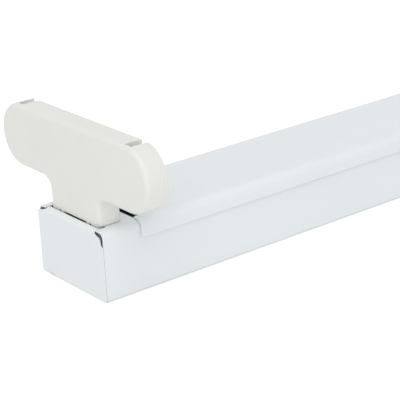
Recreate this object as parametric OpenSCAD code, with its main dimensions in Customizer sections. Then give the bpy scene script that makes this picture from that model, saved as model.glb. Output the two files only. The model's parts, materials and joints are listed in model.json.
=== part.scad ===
// Batten light for two T8 tubes, lying on its back with the lampholders up.
// X runs along the batten, Z up from its back panel, origin in the middle of the back.
// One end is drawn in an end frame, with x = 0 on the end plate and x growing inwards.

/* [Overall] */
// Length over the two end plates
overall_l = 622; // [560:1:1240]
// Width of the channel
channel_w = 54; // [52:0.5:60]
// Height of the channel above its back
channel_h = 35; // [33.5:0.5:42]

/* [Sheet metal] */
// Thickness of the sheet
sheet_t = 0.8; // [0.6:0.05:0.9]
// Outer radius of the long top bends
top_bend_r = 3.2; // [2:0.1:4]
// Outer radius of the bends round the back panel
back_bend_r = 1.6; // [1.2:0.1:2.4]
// Outer radius of the end plate's top bend
plate_bend_r = 2.2; // [1.4:0.1:2.8]
// Gap where two cut edges of sheet meet
seam_gap = 0.3; // [0.2:0.05:0.5]

/* [End sections] */
// Length of the full-height side wall at each end
end_len = 22.8; // [22:0.1:30]
// How far the end plate's top flange reaches in over the channel
plate_flange = 3; // [2.9:0.1:3.3]
// How far the corner reliefs reach in from each side wall
relief_w = 6.4; // [5.5:0.1:7]
// How far the corner reliefs reach down from the top
relief_h = 6.5; // [4:0.1:9]
// How far the wide front part of the lampholder's opening reaches in
corner_l = 7; // [5:0.1:9]

/* [Cover] */
// Height of the cover's side skirts
skirt_h = 9; // [7:0.1:11]
// Gap between the cover and the channel that it closes over
seat_gap = 0.3; // [0.2:0.05:0.5]
// How far each end of the cover laps over the full-height end section
cover_lap = 0.8; // [0.4:0.1:2]
// Depth of the notch in each end of the cover, behind the lampholder
cover_notch = 2.8; // [1:0.1:4]
// Width of that notch
cover_notch_w = 43.8; // [30:0.2:45]

/* [Lampholder] */
// Distance between the two tube axes
tube_spacing = 89; // [84:0.5:100]
// Height of the tube axes above the channel's top
tube_rise = 29.8; // [29:0.2:40]
// Radius of the round lobes
lobe_r = 15.9; // [15:0.1:16.5]
// Distance from the end plate to the lampholder's front
holder_x = 3.7; // [3.5:0.1:4]
// Depth of the lampholder along the tube
holder_d = 11.8; // [11.6:0.1:12.4]
// Depth of the stem along the tube, where it stands on the channel
stem_d = 13.3; // [12.4:0.1:14]
// Width of the stem
stem_w = 40.4; // [38:0.2:42]
// How far the neck is let in on each side where it passes the sheet
neck_step = 1.6; // [1.2:0.1:2]
// Radius of the fillets between stem and head
fillet_r = 6; // [5:0.5:9]
// Radius of the rounded front edge
edge_r = 2.4; // [1.2:0.1:2.8]
// Radius of the rounded edge on the tube side
back_edge_r = 0.5; // [0.3:0.1:1]
// Wall thickness of the moulded shell
wall_t = 1.8; // [1.4:0.1:2]
// Thickness of the plate that closes the shell on the tube side
face_t = 2.2; // [1.8:0.1:2.4]
// How far the foot reaches down into the channel
foot_h = 14; // [11:0.5:16]
// Width of the middle window in the front of the neck
neck_window = 19; // [12:0.5:21]
// Width of the small window on each side of it
side_window = 1.6; // [1:0.1:2.4]

/* [Tube sockets] */
// Width of the slot that lets the tube's pins in
slot_w = 4.6; // [4.5:0.1:5.6]
// Depth of that slot from the tube side
slot_d = 9.5; // [8.4:0.1:9.7]
// Length of the pins of a tube cap
pin_l = 7; // [6.6:0.1:7.2]
// Radius of the rotor where it turns in the plate's window
rotor_r = 9.8; // [9.4:0.1:10]
// Radius of the flange that keeps the rotor behind the plate
rotor_flange_r = 11; // [10.6:0.1:11.4]
// Radius of the rotor's drum between the contact leaves
drum_r = 6.6; // [6.2:0.1:6.8]
// Width of the slot through the rotor
rotor_slot_w = 3; // [2.7:0.1:3.4]
// Distance between the two pins of a tube cap
pin_spacing = 12.7; // [12:0.1:13]
// How far the rotor stands proud of the plate
rotor_proud = 0.3; // [0.1:0.1:0.5]
// Radial clearance of the turning parts
turn_gap = 0.06; // [0.02:0.01:0.1]
// Radius of the spigot that the rotor turns on at its back
spigot_r = 3; // [2.5:0.1:3.5]

/* [Contacts] */
// Thickness of the contact strip
strip_t = 0.4; // [0.3:0.05:0.5]
// Width of the contact strip along the tube
strip_w = 3.2; // [2.6:0.1:3.4]
// Gap between the drum and each contact leaf
leaf_gap = 0.8; // [0.5:0.1:1]

/* [Fixing] */
// Distance between the two fixing slots in the back
fixing_spacing = 400; // [300:5:460]
// Width of a fixing slot
fixing_w = 5; // [4.2:0.1:6]
// Length of a fixing slot
fixing_l = 12; // [8:0.5:16]
// Distance from the middle to the cable entry
entry_x = 60; // [45:1:70]
// Radius of the cable bush's bore
bush_bore_r = 6; // [4:0.25:8]
// Radius of the hole that the bush sits in
bush_hole_r = 10; // [9.5:0.25:11]

/* [Wiring] */
// Distance from the middle to the terminal block
block_x = 110; // [105:1:120]
// Length of the terminal block along the channel
block_l = 18; // [17:0.5:20]
// Height of the terminal block
block_h = 15; // [13.5:0.5:20]
// Distance between the block's poles
pole_pitch = 8; // [7.6:0.1:8]
// Distance from the terminal block to the earth stud
earth_x = 38; // [36:0.5:44]
// Radius of the insulated leads
lead_r = 1.1; // [0.8:0.05:1.2]

/* [Cover screw] */
// Radius of the screw's shank
screw_r = 2; // [1.75:0.05:2.5]
// Radius of the screw's head
head_r = 4; // [3.6:0.1:4.5]
// Height of the screw's head
head_h = 2.4; // [2:0.1:3]
// Thickness of the bracket that the screw bites in
bracket_t = 1.2; // [0.8:0.1:1.6]

/* [Hidden] */
$fn = 64;

white_paint = [0.90, 0.91, 0.92];
holder_plastic = [0.89, 0.89, 0.86];
rotor_plastic = [0.94, 0.94, 0.92];
brass = [0.80, 0.66, 0.36];
steel = [0.72, 0.73, 0.75];
natural_plastic = [0.86, 0.85, 0.80];

eps = 0.01;
half_w = channel_w / 2;
half_l = overall_l / 2;
wall_x = sheet_t + seam_gap;
wall_top = channel_h - top_bend_r;
cover_half = half_w + seat_gap + sheet_t;
cover_top = channel_h + seat_gap + sheet_t;
cover_x = end_len - cover_lap;
drain_y = 9;

tube_y = tube_spacing / 2;
tube_z = channel_h + tube_rise;
holder_back = holder_x + holder_d;
face_x = holder_back - face_t;
inner_x = holder_x + wall_t;
stem_half = stem_w / 2;
heel_r = 3;
heel_rise = 1;
neck_half = stem_half - neck_step;
neck_fit = 0.3;
seat_rise = 0.25;
seat_z = channel_h + seat_rise;
foot_top = channel_h - sheet_t - neck_fit;
foot_z = foot_top - foot_h;
hollow_half = neck_half - wall_t;
fillet_y = stem_half + fillet_r;
fillet_reach = 1.3 * fillet_r;
fillet_z = tube_z - lobe_r - fillet_r;

slot_x = holder_back - slot_d;
cheek_t = 1.2;
chute_low = rotor_flange_r + 0.3;
flange_t = 1.5;
flange_front = face_x - 0.3;
rotor_front = holder_back + rotor_proud;
web_x = rotor_front - pin_l - 0.5;
web_t = 1.1;
spigot_x = inner_x + 0.4;
socket_x = web_x - web_t - 0.3;
socket_wall = 1.6;
pin_r = 1.2;
rotor_slot_low = pin_spacing / 2 + pin_r + 0.35;
peg_r = 1.2;
peg_gap = 0.05;
peg_wall = 1.3;
peg_l = 5;
pegs = [[-tube_y / 2 - 2, tube_z + 6], [tube_y / 2 + 2, tube_z + 6], [0, foot_z + 7]];

strip_x = (web_x - web_t + flange_front - flange_t - strip_w) / 2;
leaf_y = drum_r + leaf_gap;
leaf_low = leaf_y + strip_t + 0.6;
leaf_high = 5;
tail_y = -9;
tail_low = foot_z + 6;
lead_x = strip_x + strip_w / 2;
lead_y = tail_y - strip_t / 2 - lead_r;
lead_hole_r = lead_r + 0.2;
strip_bed = 1;

pole_z = sheet_t + 8.2;
block_w = 3 * pole_pitch + 2;
barrel_r = 2.6;
barrel_bore_r = 1.5;
barrel_gap = 0.1;
barrel_inset = 2;
clamp_r = 1.6;
clamp_x = 4;
clamp_drop = 0.4;
hook_gap = 0.3;
hook_w = 6;
hook_over = 1;
ledge_h = 3;
ledge_l = 1.6;

stud_flange_t = 0.8;
washer_t = 0.8;
tag_t = 0.8;
nut_t = 3.2;
nut_r = 3.9;
stud_r = 2;
stud_h = 11;
stud_hole_r = stud_r + 0.1;
tag_r = 4.2;
tag_barrel_l = 5;
tag_barrel_r = lead_r + 0.75;
earth_z = sheet_t + stud_flange_t + washer_t + tag_barrel_r - 0.2;
tag_reach = 5.4;

floor_z = sheet_t + 2.6;
run_inset = 10;
run_y = half_w - run_inset;
clip_l = 5;
clip_w = 5;
clip_h = 5.4;
clip_gap = 0.15;
clip_start = 68;
clip_end = 42;
clip_spots = [[-block_x, -1], [end_len + clip_end - half_l, -1], [block_x + clip_start, 1],
    [half_l - end_len - clip_end, 1]];
wire_step = 4;

bush_flange_r = bush_hole_r + 3;
bush_flange_t = 1.6;
retainer_t = 0.8;
retainer_r = 4.2;
bracket_top = cover_top - sheet_t - retainer_t - seat_gap;
bracket_w = 24;
bracket_top_l = 24;
bracket_foot_l = 10;
screw_low = bracket_top - bracket_t - 3;
screw_gap = 0.3;

// Extrudes a section drawn in Y and Z along X
module along_x(x0, x1) {
    translate([x0, 0, 0]) rotate([90, 0, 90]) linear_extrude(x1 - x0) children();
}

// Extrudes a section drawn in X and Z along Y
module along_y(y0, y1) {
    translate([0, y1, 0]) rotate([90, 0, 0]) linear_extrude(y1 - y0) children();
}

// A cylinder along X, through a place in Y and Z
module rod_x(x0, x1, y, z, r) {
    translate([x0, y, z]) rotate([0, 90, 0]) cylinder(h = x1 - x0, r = r);
}

module near_end() {
    translate([-half_l, 0, 0]) children();
}

module far_end() {
    rotate([0, 0, 180]) near_end() children();
}

// Outline of folded sheet: small radii at the back, larger ones at the top
module bent_outline(w, z0, z1, r_back, r_top) {
    translate([-w / 2, z0 + r_back]) square([w, z1 - z0 - r_back - r_top]);
    translate([r_back - w / 2, z0]) square([w - 2 * r_back, r_back]);
    translate([r_top - w / 2, z1 - r_top]) square([w - 2 * r_top, r_top]);
    for (side = [-1, 1]) {
        translate([side * (w / 2 - r_back), z0 + r_back]) circle(r_back);
        translate([side * (w / 2 - r_top), z1 - r_top]) circle(r_top);
    }
}

module full_outline() {
    bent_outline(channel_w, 0, channel_h, back_bend_r, top_bend_r);
}

module inner_outline() {
    bent_outline(channel_w - 2 * sheet_t, sheet_t, channel_h - sheet_t,
        back_bend_r - sheet_t, top_bend_r - sheet_t);
}

// Closed section of the channel at each end
module end_section() {
    difference() {
        full_outline();
        inner_outline();
    }
}

// Open section of the channel under the cover
module spine_section() {
    difference() {
        end_section();
        translate([-half_w - 1, wall_top]) square([channel_w + 2, top_bend_r + 1]);
    }
}

// Section of the cover, one sheet outside the channel's own outline
module cover_section() {
    inner_half = cover_half - sheet_t;
    inner_r = top_bend_r + seat_gap;
    difference() {
        bent_outline(2 * cover_half, 0, cover_top, back_bend_r, inner_r + sheet_t);
        bent_outline(2 * inner_half, -1, cover_top - sheet_t, back_bend_r, inner_r);
        translate([-cover_half - 1, -2]) square([2 * cover_half + 2, cover_top - skirt_h + 2]);
    }
}

// Section of the end plate in X and Z, with its bends over the back and the top
module plate_section() {
    difference() {
        plate_block(0, channel_h, back_bend_r, plate_bend_r);
        translate([sheet_t, 0]) {
            plate_block(sheet_t, channel_h - sheet_t, back_bend_r - sheet_t, plate_bend_r - sheet_t);
        }
    }
}

module plate_block(z0, z1, r_back, r_top) {
    translate([0, z0 + r_back]) square([plate_flange, z1 - z0 - r_back - r_top]);
    translate([r_back, z0]) square([plate_flange - r_back, r_back]);
    translate([r_top, z1 - r_top]) square([plate_flange - r_top, r_top]);
    translate([r_back, z0 + r_back]) circle(r_back);
    translate([r_top, z1 - r_top]) circle(r_top);
}

// What is cut from a top corner of the end plate, on the +Y side
module relief_outline() {
    top_y = half_w - relief_w;
    polygon([[top_y, channel_h + 1], [top_y, channel_h - 1.5], [half_w - 1.7, channel_h - 2.8],
        [half_w - 1, channel_h - 3.8], [half_w - 0.9, channel_h - relief_h],
        [half_w + 1, channel_h - relief_h], [half_w + 1, channel_h + 1]]);
}

module end_plate() {
    difference() {
        intersection() {
            along_y(-half_w, half_w) plate_section();
            along_x(0, plate_flange) full_outline();
        }
        for (side = [0, 1]) {
            mirror([0, side, 0]) along_x(-1, plate_flange + 1) relief_outline();
        }
        translate([-1, half_w - drain_y, -1]) cube([sheet_t + 1.6, 1.4, 2]);
    }
}

// The walls and top tabs of one end, with the opening that the lampholder's neck stands in
module end_walls() {
    flange_half = half_w - relief_w + seam_gap;
    neck_back = holder_back + neck_fit;
    neck_out = neck_half + neck_fit;
    top_z = channel_h - top_bend_r;
    difference() {
        along_x(wall_x, end_len) end_section();
        translate([0, -flange_half, top_z]) cube([corner_l, 2 * flange_half, top_bend_r + 1]);
        translate([0, -neck_out, top_z]) cube([neck_back, 2 * neck_out, top_bend_r + 1]);
        translate([0, -seam_gap / 2, top_z]) cube([end_len, seam_gap, top_bend_r + 1]);
    }
}

module slot_hole(x, length, width) {
    travel = length - width;
    translate([x - travel / 2, -width / 2, -1]) cube([travel, width, sheet_t + 2]);
    for (side = [-1, 1]) {
        translate([x + side * travel / 2, 0, -1]) cylinder(h = sheet_t + 2, d = width);
    }
}

// Tabs lanced out of the back panel, hooked over the terminal block's ledges
module block_hooks() {
    tab_out = block_l / 2 + ledge_l + hook_gap;
    hook_z = sheet_t + ledge_h + hook_gap;
    for (side = [0, 1]) {
        translate([block_x, 0, 0]) mirror([side, 0, 0]) {
            translate([tab_out, -hook_w / 2, eps]) cube([sheet_t, hook_w, hook_z + sheet_t - eps]);
            translate([tab_out - hook_over, -hook_w / 2, hook_z]) cube([hook_over + eps, hook_w, sheet_t]);
        }
    }
}

module hook_windows() {
    tab_out = block_l / 2 + ledge_l + hook_gap;
    for (side = [0, 1]) {
        translate([block_x, 0, 0]) mirror([side, 0, 0]) {
            translate([tab_out + sheet_t, -hook_w / 2, -1]) cube([ledge_h + 3, hook_w, sheet_t + 2]);
        }
    }
}

module base_channel() {
    color(white_paint) {
        difference() {
            union() {
                along_x(end_len - half_l, half_l - end_len) spine_section();
                near_end() end_walls();
                far_end() end_walls();
                near_end() end_plate();
                far_end() end_plate();
            }
            for (side = [-1, 1]) slot_hole(side * fixing_spacing / 2, fixing_l, fixing_w);
            translate([entry_x, 0, -1]) cylinder(h = sheet_t + 2, r = bush_hole_r);
            hook_windows();
        }
        block_hooks();
    }
}

module gear_cover() {
    color(white_paint) {
        difference() {
            along_x(cover_x - half_l, half_l - cover_x) cover_section();
            for (side = [0, 1]) {
                mirror([side, 0, 0])
                translate([half_l - cover_x - cover_notch, -cover_notch_w / 2, channel_h]) {
                    cube([cover_notch + 1, cover_notch_w, cover_top]);
                }
            }
            translate([0, 0, cover_top - 2 * sheet_t]) cylinder(h = 3 * sheet_t, r = screw_r + screw_gap);
        }
    }
}

module cover_bracket() {
    half_top = bracket_top_l / 2;
    color(steel) {
        difference() {
            along_y(-bracket_w / 2, bracket_w / 2) {
                translate([-half_top, bracket_top - bracket_t]) square([bracket_top_l, bracket_t]);
                for (side = [0, 1]) {
                    mirror([side, 0]) {
                        translate([half_top - bracket_t, sheet_t]) square([bracket_t, bracket_top - sheet_t]);
                        translate([half_top - bracket_t, sheet_t]) square([bracket_foot_l, bracket_t]);
                    }
                }
            }
            translate([0, 0, bracket_top - 2 * bracket_t])
                cylinder(h = 3 * bracket_t, r = screw_r + turn_gap);
        }
    }
}

// Pan head with a cross recess, above a plain shank
module cover_screw() {
    head_z = cover_top + screw_gap;
    dome_h = head_h - 1;
    dome_r = (head_r * head_r + dome_h * dome_h) / (2 * dome_h);
    color(steel) {
        difference() {
            union() {
                translate([0, 0, screw_low]) cylinder(h = head_z - screw_low + eps, r = screw_r);
                translate([0, 0, head_z]) cylinder(h = 1, r = head_r);
                intersection() {
                    translate([0, 0, head_z + head_h - dome_r]) sphere(dome_r);
                    translate([0, 0, head_z + 1]) cylinder(h = dome_h + 1, r = head_r);
                }
            }
            for (turn = [0, 90]) {
                rotate([0, 0, turn]) translate([-head_r * 0.6, -0.45, head_z + head_h - 1.4])
                    cube([head_r * 1.2, 0.9, 2]);
            }
        }
    }
}

module screw_retainer() {
    color(steel) {
        difference() {
            translate([0, 0, cover_top - sheet_t - retainer_t]) cylinder(h = retainer_t, r = retainer_r);
            translate([0, 0, cover_top - sheet_t - 2 * retainer_t])
                cylinder(h = 3 * retainer_t, r = screw_r + turn_gap);
        }
    }
}

// Half section across an edge: reach outwards, depth from x0 to x1, with rounded outer corners
module edge_slab(reach, x0, x1, e0, e1) {
    translate([0, x0 + e0]) square([reach, x1 - x0 - e0 - e1]);
    if (e0 > 0) {
        translate([0, x0]) square([reach - e0, 2 * e0]);
        translate([reach - e0, x0 + e0]) circle(e0);
    }
    if (e1 > 0) {
        translate([0, x1 - 2 * e1]) square([reach - e1, 2 * e1]);
        translate([reach - e1, x1 - e1]) circle(e1);
    }
}

// The same section on both sides of its middle line
module full_slab(reach, x0, x1, e0, e1) {
    edge_slab(reach, x0, x1, e0, e1);
    mirror([1, 0]) edge_slab(reach, x0, x1, e0, e1);
}

// The T shape of the lampholder between two depths, with edge radii e0 and e1
module holder_form(x0, x1, e0, e1) {
    translate([0, -tube_y, tube_z]) rotate([0, -90, -90]) {
        linear_extrude(2 * tube_y) full_slab(lobe_r, x0, x1, e0, e1);
    }
    for (side = [0, 1]) {
        mirror([0, side, 0]) {
            translate([0, tube_y, tube_z]) rotate([0, 90, 0]) {
                rotate_extrude(angle = 180) edge_slab(lobe_r, x0, x1, e0, e1);
            }
            translate([0, fillet_y, fillet_z]) rotate([0, 90, 0]) rotate([0, 0, 180]) {
                rotate_extrude(angle = 90) translate([fillet_r + fillet_reach, 0]) mirror([1, 0]) {
                    edge_slab(fillet_reach, x0, x1, e0, e1);
                }
            }
        }
    }
    translate([0, 0, seat_z]) rotate([0, 0, -90]) {
        linear_extrude(tube_z - seat_z) full_slab(stem_half, x0, x1, e0, e1);
    }
    along_x(x0, x1) foot_outline();
}

// Neck in the sheet's opening and the foot below it, with chamfered corners
module foot_outline() {
    chamfer = 2;
    translate([-neck_half, foot_top - 1]) square([2 * neck_half, seat_z - foot_top + 2]);
    polygon([[-stem_half, foot_top], [-stem_half, foot_z + chamfer], [chamfer - stem_half, foot_z],
        [stem_half - chamfer, foot_z], [stem_half, foot_z + chamfer], [stem_half, foot_top]]);
}

// The hollow inside the moulding, in Y and Z
module hollow_outline() {
    r = lobe_r - wall_t;
    translate([-tube_y, tube_z - r]) square([2 * tube_y, 2 * r]);
    for (side = [-1, 1]) translate([side * tube_y, tube_z]) circle(r);
    translate([-hollow_half, foot_z + wall_t]) square([2 * hollow_half, tube_z - foot_z - wall_t]);
}

// Windows through the front of the neck, just under the seat, that clear the end plate's flange
module neck_windows() {
    low = foot_top - 1.5;
    side_y = neck_window / 2 + 2.2;
    translate([holder_x - 1, -neck_window / 2, low]) cube([wall_t + 1.5, neck_window, seat_z - low]);
    for (side = [0, 1]) {
        mirror([0, side, 0]) translate([holder_x - 1, side_y, low])
            cube([wall_t + 1.5, side_window, seat_z - low]);
    }
}

// Way in for the pins at one lobe, from the top down to the rotor's flange
module chute_outline(side, extra, low, high) {
    translate([side * tube_y - slot_w / 2 - extra, tube_z + low]) square([slot_w + 2 * extra, high - low]);
}

module holder_shell() {
    difference() {
        union() {
            difference() {
                holder_form(holder_x, face_x, edge_r, 0);
                along_x(inner_x, face_x + 1) hollow_outline();
            }
            for (side = [-1, 1]) {
                along_x(inner_x - eps, face_x) {
                    chute_outline(side, cheek_t, chute_low, lobe_r - 0.8 * wall_t);
                }
                rod_x(inner_x - eps, socket_x, side * tube_y, tube_z, spigot_r + turn_gap + socket_wall);
            }
            for (peg = pegs) {
                rod_x(inner_x - eps, face_x, peg[0], peg[1], peg_r + peg_gap + peg_wall);
            }
        }
        for (side = [-1, 1]) {
            along_x(slot_x, face_x + 1) chute_outline(side, 0, chute_low - 1, lobe_r + 1);
            rod_x(inner_x, socket_x + 1, side * tube_y, tube_z, spigot_r + turn_gap);
        }
        for (peg = pegs) {
            rod_x(face_x - peg_l - 0.4, face_x + 1, peg[0], peg[1], peg_r + peg_gap);
        }
        translate([lead_x, lead_y, foot_z - 1]) cylinder(h = wall_t + 2, r = lead_hole_r);
        neck_windows();
    }
}

// Foot of the stem where it stands on the channel, from the face plate back to its rounded corners
module heel_outline() {
    intersection() {
        full_slab(stem_half, holder_x, holder_x + stem_d, 0, heel_r);
        translate([-stem_half, face_x]) square([2 * stem_half, stem_d]);
    }
}

module holder_face() {
    heel_top = tube_z - lobe_r + heel_rise;
    difference() {
        union() {
            holder_form(face_x, holder_back, 0, back_edge_r);
            translate([0, 0, seat_z]) rotate([0, 0, -90]) linear_extrude(heel_top - seat_z) heel_outline();
            for (peg = pegs) rod_x(face_x - peg_l, face_x + eps, peg[0], peg[1], peg_r);
        }
        for (side = [-1, 1]) {
            rod_x(face_x - 1, holder_back + 1, side * tube_y, tube_z, rotor_r + turn_gap);
            along_x(face_x - 1, holder_back + 1) chute_outline(side, 0, 0, lobe_r + 1);
        }
    }
}

// Rotor on the tube axis: spigot, web, slotted drum, keeping flange and front disc
module rotor(side) {
    ring_r = rotor_r - 1.5;
    translate([0, side * tube_y, tube_z]) difference() {
        rotate([0, 90, 0]) rotate_extrude() {
            translate([0, spigot_x]) square([spigot_r, web_x - spigot_x]);
            translate([0, web_x - web_t]) square([drum_r, flange_front - web_x + web_t]);
            translate([0, flange_front - flange_t]) square([rotor_flange_r, flange_t]);
            translate([0, flange_front - flange_t]) square([rotor_r, rotor_front - flange_front + flange_t]);
        }
        translate([web_x, -rotor_slot_w / 2, -rotor_slot_low]) {
            cube([rotor_front, rotor_slot_w, rotor_slot_low + rotor_flange_r + 1]);
        }
        rotate([0, 90, 0]) translate([0, 0, rotor_front - 0.4]) difference() {
            cylinder(h = 1, r = ring_r);
            translate([0, 0, -1]) cylinder(h = 3, r = ring_r - 0.7);
        }
    }
}

// One brass strip: a bus under both drums, a leaf on each side of each drum, and a tail down the stem
module contact_strip() {
    bus_half = tube_y + leaf_y + strip_t;
    bus_z = tube_z - leaf_low;
    along_x(strip_x, strip_x + strip_w) {
        translate([-bus_half, bus_z]) square([2 * bus_half, strip_t]);
        for (side = [-1, 1], inner = [-1, 1]) {
            translate([side * tube_y + inner * (leaf_y + strip_t / 2) - strip_t / 2, bus_z]) {
                square([strip_t, leaf_low + leaf_high]);
            }
        }
        translate([tail_y - strip_t / 2, tail_low]) square([strip_t, bus_z - tail_low + eps]);
    }
}

module near_holder_shell() {
    color(holder_plastic) near_end() holder_shell();
}

module far_holder_shell() {
    color(holder_plastic) far_end() holder_shell();
}

module near_holder_face() {
    color(holder_plastic) near_end() holder_face();
}

module far_holder_face() {
    color(holder_plastic) far_end() holder_face();
}

module near_left_rotor() {
    color(rotor_plastic) near_end() rotor(1);
}

module near_right_rotor() {
    color(rotor_plastic) near_end() rotor(-1);
}

module far_left_rotor() {
    color(rotor_plastic) far_end() rotor(-1);
}

module far_right_rotor() {
    color(rotor_plastic) far_end() rotor(1);
}

module near_contacts() {
    color(brass) near_end() contact_strip();
}

module far_contacts() {
    color(brass) far_end() contact_strip();
}

function pole_y(pole) = (pole - 1) * pole_pitch;

// Block body with a bore and two screw wells for each pole, and a ledge at each end
module terminal_block() {
    color(natural_plastic) translate([block_x, 0, sheet_t]) difference() {
        union() {
            translate([-block_l / 2, -block_w / 2, 0]) cube([block_l, block_w, block_h]);
            translate([-block_l / 2 - ledge_l, -block_w / 2 + 2, 0])
                cube([block_l + 2 * ledge_l, block_w - 4, ledge_h]);
        }
        for (pole = [0:2]) {
            rod_x(-block_l, block_l, pole_y(pole), pole_z - sheet_t, barrel_r + barrel_gap);
            for (side = [-1, 1]) {
                translate([side * clamp_x, pole_y(pole), pole_z - sheet_t])
                    cylinder(h = block_h, r = clamp_r + 0.5);
            }
        }
        for (gap = [-0.5, 0.5]) {
            translate([-block_l / 2 - 1, gap * pole_pitch - 0.5, block_h - 3]) cube([block_l + 2, 1, 4]);
        }
    }
}

module terminal_barrels() {
    color(brass) for (pole = [0:2]) {
        difference() {
            rod_x(block_x - block_l / 2 + barrel_inset, block_x + block_l / 2 - barrel_inset,
                pole_y(pole), pole_z, barrel_r);
            rod_x(block_x - block_l, block_x + block_l, pole_y(pole), pole_z, barrel_bore_r);
            for (side = [-1, 1]) {
                translate([block_x + side * clamp_x, pole_y(pole), pole_z])
                    cylinder(h = barrel_r + 1, r = clamp_r + 0.05);
            }
        }
    }
}

module terminal_screws() {
    low = pole_z + barrel_bore_r + clamp_drop;
    high = sheet_t + block_h - 1.5;
    color(steel) for (pole = [0:2], side = [-1, 1]) {
        translate([block_x + side * clamp_x, pole_y(pole), 0]) difference() {
            translate([0, 0, low]) cylinder(h = high - low, r = clamp_r);
            rotate([0, 0, 30 * (pole + side)]) translate([-2, -0.3, high - 0.8]) cube([4, 0.6, 2]);
        }
    }
}

module earth_stud() {
    color(steel) translate([block_x + earth_x, 0, 0]) {
        translate([0, 0, sheet_t]) cylinder(h = stud_flange_t, r = tag_r);
        translate([0, 0, sheet_t]) cylinder(h = stud_h, r = stud_r);
    }
}

module earth_washer() {
    color(steel) translate([block_x + earth_x, 0, sheet_t + stud_flange_t]) difference() {
        cylinder(h = washer_t, r = tag_r + 0.6);
        translate([0, 0, -1]) cylinder(h = washer_t + 2, r = stud_hole_r);
    }
}

// Ring tag with a crimped barrel for the earth lead
module earth_tag() {
    tag_z = sheet_t + stud_flange_t + washer_t;
    color(brass) translate([block_x + earth_x, 0, 0]) difference() {
        union() {
            translate([0, 0, tag_z]) cylinder(h = tag_t, r = tag_r);
            translate([-tag_reach - 1, -1.6, tag_z]) cube([tag_reach, 3.2, tag_t]);
            rod_x(-tag_reach - tag_barrel_l, -tag_reach, 0, earth_z, tag_barrel_r);
        }
        translate([0, 0, tag_z - 1]) cylinder(h = tag_t + 2, r = stud_hole_r);
        rod_x(-tag_reach - tag_barrel_l - 1, -tag_reach - 0.6, 0, earth_z, lead_r + 0.05);
    }
}

module earth_nut() {
    color(steel) translate([block_x + earth_x, 0, sheet_t + stud_flange_t + washer_t + tag_t]) difference() {
        cylinder(h = nut_t, r = nut_r, $fn = 6);
        translate([0, 0, -1]) cylinder(h = nut_t + 2, r = stud_hole_r);
    }
}

module cable_bush() {
    color(natural_plastic) translate([entry_x, 0, 0]) difference() {
        union() {
            translate([0, 0, 0.05]) cylinder(h = sheet_t + bush_flange_t - 0.05, r = bush_hole_r - 0.1);
            translate([0, 0, sheet_t]) cylinder(h = bush_flange_t, r = bush_flange_r);
        }
        translate([0, 0, -1]) cylinder(h = bush_flange_t + sheet_t + 2, r = bush_bore_r);
    }
}

// Points between p1 and p2 on the smooth curve through four route points
function bend(p0, p1, p2, p3, t) =
    0.5 * (2 * p1 + t * (p2 - p0) + t * t * (2 * p0 - 5 * p1 + 4 * p2 - p3)
        + t * t * t * (3 * p1 - p0 - 3 * p2 + p3));

function smooth(route, steps) = [
    for (i = [0:len(route) - 2], k = [0:steps - 1])
        bend(route[max(i - 1, 0)], route[i], route[i + 1], route[min(i + 2, len(route) - 1)], k / steps),
    route[len(route) - 1]
];

function unit(v) = v / norm(v);

function heading(path, i) = unit(path[min(i + 1, len(path) - 1)] - path[max(i - 1, 0)]);

function ring(p, along, r, sides) =
    let (u = unit(cross(along, [1, 1, -1])), v = cross(along, u))
    [for (k = [0:sides - 1]) p + r * (cos(360 * k / sides) * u + sin(360 * k / sides) * v)];

// A round lead swept along a route
module lead(route, steps) {
    sides = 8;
    path = smooth(route, steps);
    rings = len(path);
    last = (rings - 1) * sides;
    points = [for (i = [0:rings - 1]) each ring(path[i], heading(path, i), lead_r, sides)];
    walls = [for (i = [0:rings - 2], k = [0:sides - 1])
        let (a = i * sides + k, b = i * sides + (k + 1) % sides)
        each [[a, b, a + sides], [b, b + sides, a + sides]]];
    caps = [for (k = [1:sides - 2]) each [[0, k + 1, k], [last, last + k, last + k + 1]]];
    polyhedron(points, concat(walls, caps));
}

// Rise of a lead from the channel's floor to the contact tail in a holder's stem, in the end's own sense
stem_route = [[end_len + 6 * wire_step, -run_y, floor_z],
    [end_len + 2.5 * wire_step, -run_y + 0.15 * wire_step, floor_z + 0.25 * wire_step],
    [end_len, lead_y - 0.75 * wire_step, floor_z + wire_step],
    [lead_x + 0.75 * wire_step, lead_y - 0.2 * wire_step, floor_z + 2.25 * wire_step],
    [lead_x, lead_y, foot_z - 0.25 * wire_step], [lead_x, lead_y, foot_z + wire_step],
    [lead_x, lead_y, foot_z + 2.25 * wire_step]];

// From the block's first pole, back over itself and down the -Y side of the floor
live_start = [[block_x + wire_step, pole_y(0), pole_z], [block_x + 3 * wire_step, pole_y(0), pole_z],
    [block_x + 4.5 * wire_step, pole_y(0) - 0.25 * wire_step, pole_z - 0.25 * wire_step],
    [block_x + 5.25 * wire_step, pole_y(0) - 1.125 * wire_step, pole_z - 0.75 * wire_step],
    [block_x + 4.5 * wire_step, pole_y(0) - 2 * wire_step, floor_z + 0.25 * wire_step],
    [block_x + 2.75 * wire_step, -run_y, floor_z], [block_x, -run_y, floor_z],
    [0, -run_y, floor_z], [-block_x, -run_y, floor_z]];

// From the block's third pole out to the +Y side of the floor
neutral_start = [[block_x + wire_step, pole_y(2), pole_z], [block_x + 3 * wire_step, pole_y(2), pole_z],
    [block_x + 5 * wire_step, pole_y(2) + 0.5 * wire_step, pole_z - 0.35 * wire_step],
    [block_x + 8 * wire_step, run_y - 0.4 * wire_step, floor_z + 0.25 * wire_step],
    [block_x + 10.5 * wire_step, run_y, floor_z], [block_x + 15 * wire_step, run_y, floor_z]];

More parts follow.
